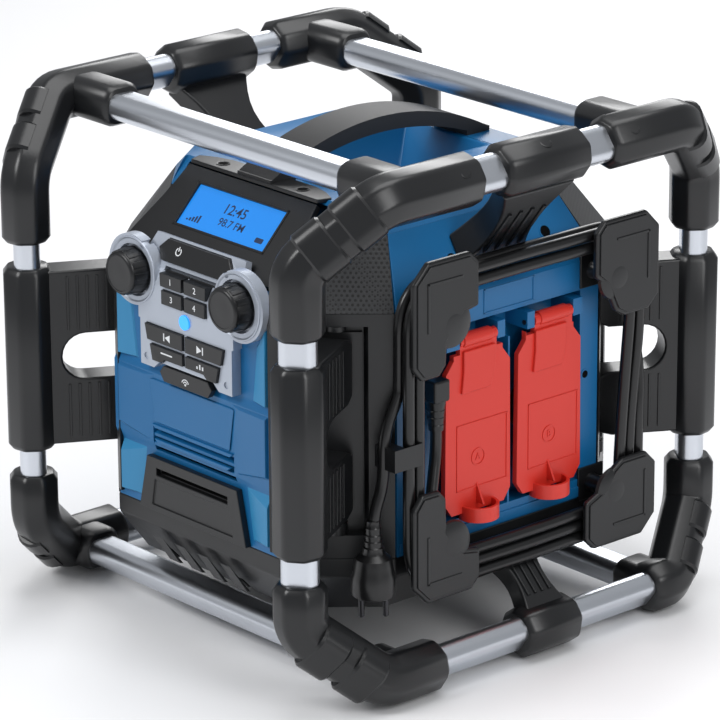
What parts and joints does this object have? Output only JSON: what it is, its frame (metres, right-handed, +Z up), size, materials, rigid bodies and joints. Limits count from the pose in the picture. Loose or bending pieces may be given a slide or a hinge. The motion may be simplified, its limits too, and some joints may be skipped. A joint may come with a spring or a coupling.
{
  "type": "jobsite radio",
  "caption": "Jobsite radio with a tubular roll cage, front controls and display, corner speakers, lidded power outlets and a cord wound on side hooks.",
  "frame": {"origin": "centre of the cage footprint, on the floor", "axes": "+Z up, the controls face -Y, the power outlets and the cord face +X"},
  "size_m": [0.437, 0.4676, 0.4285],
  "materials": {
    "tube_aluminium": "satin",
    "cage_black": "satin",
    "black_plastic": "satin",
    "grille_metal": "matte",
    "blue_plastic": "satin",
    "grip_black": "matte",
    "silver_plastic": "satin",
    "display_lens": "glossy",
    "status_lens": "glossy",
    "key_black": "satin",
    "red_plastic": "satin",
    "steel": "satin",
    "cord_rubber": "satin",
    "socket_black": "satin",
    "board": "matte",
    "supply_case": "matte",
    "driver": "matte"
  },
  "bodies": {
    "radio": {"amplifier_board": "board", "base_tub": "black_plastic", "cage_screws": "steel", "carry_handle": "grip_black", "control_board": "board", "control_panel": "silver_plastic", "cord_clip": "black_plastic", "cord_gland": "cord_rubber", "cord_hooks": "black_plastic", "cord_tube": "cord_rubber", "cord_winding": "cord_rubber", "corner_bottom_front_left": "cage_black", "corner_bottom_front_right": "cage_black", "corner_bottom_rear_left": "cage_black", "corner_bottom_rear_right": "cage_black", "corner_panels": "black_plastic", "corner_top_front_left": "cage_black", "corner_top_front_right": "cage_black", "corner_top_rear_left": "cage_black", "corner_top_rear_right": "cage_black", "cross_rail_tubes": "tube_aluminium", "display_bezel": "black_plastic", "display_module": "board", "display_window": "display_lens", "front_shell": "blue_plastic", "handle_bowl": "blue_plastic", "hinge_pins": "steel", "lower_trim": "black_plastic", "power_plug": "cord_rubber", "power_supply": "supply_case", "rail_clamps_bottom": "cage_black", "rail_clamps_top": "cage_black", "rear_panel": "blue_plastic", "side_panel_left": "blue_plastic", "side_panel_right": "blue_plastic", "side_rail_tubes": "tube_aluminium", "socket_inserts": "socket_black", "speaker_drivers": "driver", "speaker_grilles": "grille_metal", "status_lens": "status_lens", "subwoofer_driver": "driver", "top_cover": "blue_plastic", "upright_brackets_front": "cage_black", "upright_brackets_rear": "cage_black", "upright_tubes": "tube_aluminium"},
    "key_1": {"key_1": "key_black"},
    "key_2": {"key_2": "key_black"},
    "key_3": {"key_3": "key_black"},
    "key_4": {"key_4": "key_black"},
    "key_lower_left": {"key_lower_left": "key_black"},
    "key_lower_right": {"key_lower_right": "key_black"},
    "key_next": {"key_next": "key_black"},
    "key_pairing": {"key_pairing": "key_black"},
    "key_power": {"key_power": "key_black"},
    "key_previous": {"key_previous": "key_black"},
    "knob_left": {"knob_left": "key_black"},
    "knob_right": {"knob_right": "key_black"},
    "outlet_lid_a": {"outlet_lid_a": "red_plastic"},
    "outlet_lid_b": {"outlet_lid_b": "red_plastic"},
    "rear_door": {"rear_door": "black_plastic"}
  },
  "joints": [
    {"name": "key_1_press", "type": "slide", "parent": "radio", "child": "key_1", "axis": [0, 1, 0], "range_m": [0, 0.001], "stiffness_N_per_m": 900},
    {"name": "key_2_press", "type": "slide", "parent": "radio", "child": "key_2", "axis": [0, 1, 0], "range_m": [0, 0.001], "stiffness_N_per_m": 900},
    {"name": "key_3_press", "type": "slide", "parent": "radio", "child": "key_3", "axis": [0, 1, 0], "range_m": [0, 0.001], "stiffness_N_per_m": 900},
    {"name": "key_4_press", "type": "slide", "parent": "radio", "child": "key_4", "axis": [0, 1, 0], "range_m": [0, 0.001], "stiffness_N_per_m": 900},
    {"name": "key_lower_left_press", "type": "slide", "parent": "radio", "child": "key_lower_left", "axis": [0, 1, 0], "range_m": [0, 0.001], "stiffness_N_per_m": 900},
    {"name": "key_lower_right_press", "type": "slide", "parent": "radio", "child": "key_lower_right", "axis": [0, 1, 0], "range_m": [0, 0.001], "stiffness_N_per_m": 900},
    {"name": "key_next_press", "type": "slide", "parent": "radio", "child": "key_next", "axis": [0, 1, 0], "range_m": [0, 0.001], "stiffness_N_per_m": 900},
    {"name": "key_pairing_press", "type": "slide", "parent": "radio", "child": "key_pairing", "axis": [0, 1, 0], "range_m": [0, 0.001], "stiffness_N_per_m": 900},
    {"name": "key_power_press", "type": "slide", "parent": "radio", "child": "key_power", "axis": [0, 1, 0], "range_m": [0, 0.001], "stiffness_N_per_m": 900},
    {"name": "key_previous_press", "type": "slide", "parent": "radio", "child": "key_previous", "axis": [0, 1, 0], "range_m": [0, 0.001], "stiffness_N_per_m": 900},
    {"name": "knob_left_turn", "type": "hinge", "parent": "radio", "child": "knob_left", "pos_m": [-0.063, -0.19, 0.2996], "axis": [0, -1, 0], "continuous": true},
    {"name": "knob_right_turn", "type": "hinge", "parent": "radio", "child": "knob_right", "pos_m": [0.063, -0.19, 0.2996], "axis": [0, -1, 0], "continuous": true},
    {"name": "outlet_lid_a_swing", "type": "hinge", "parent": "radio", "child": "outlet_lid_a", "pos_m": [0.163, -0.026, 0.264], "axis": [0, -1, 0], "range_deg": [0, 95], "stiffness_Nm_per_rad": 0.05, "springref_deg": -20.05},
    {"name": "outlet_lid_b_swing", "type": "hinge", "parent": "radio", "child": "outlet_lid_b", "pos_m": [0.163, 0.051, 0.264], "axis": [0, -1, 0], "range_deg": [0, 95], "stiffness_Nm_per_rad": 0.05, "springref_deg": -20.05},
    {"name": "rear_door_swing", "type": "hinge", "parent": "radio", "child": "rear_door", "pos_m": [0, 0.1745, 0.1135], "axis": [-1, 0, 0], "range_deg": [0, 88]}
  ]
}
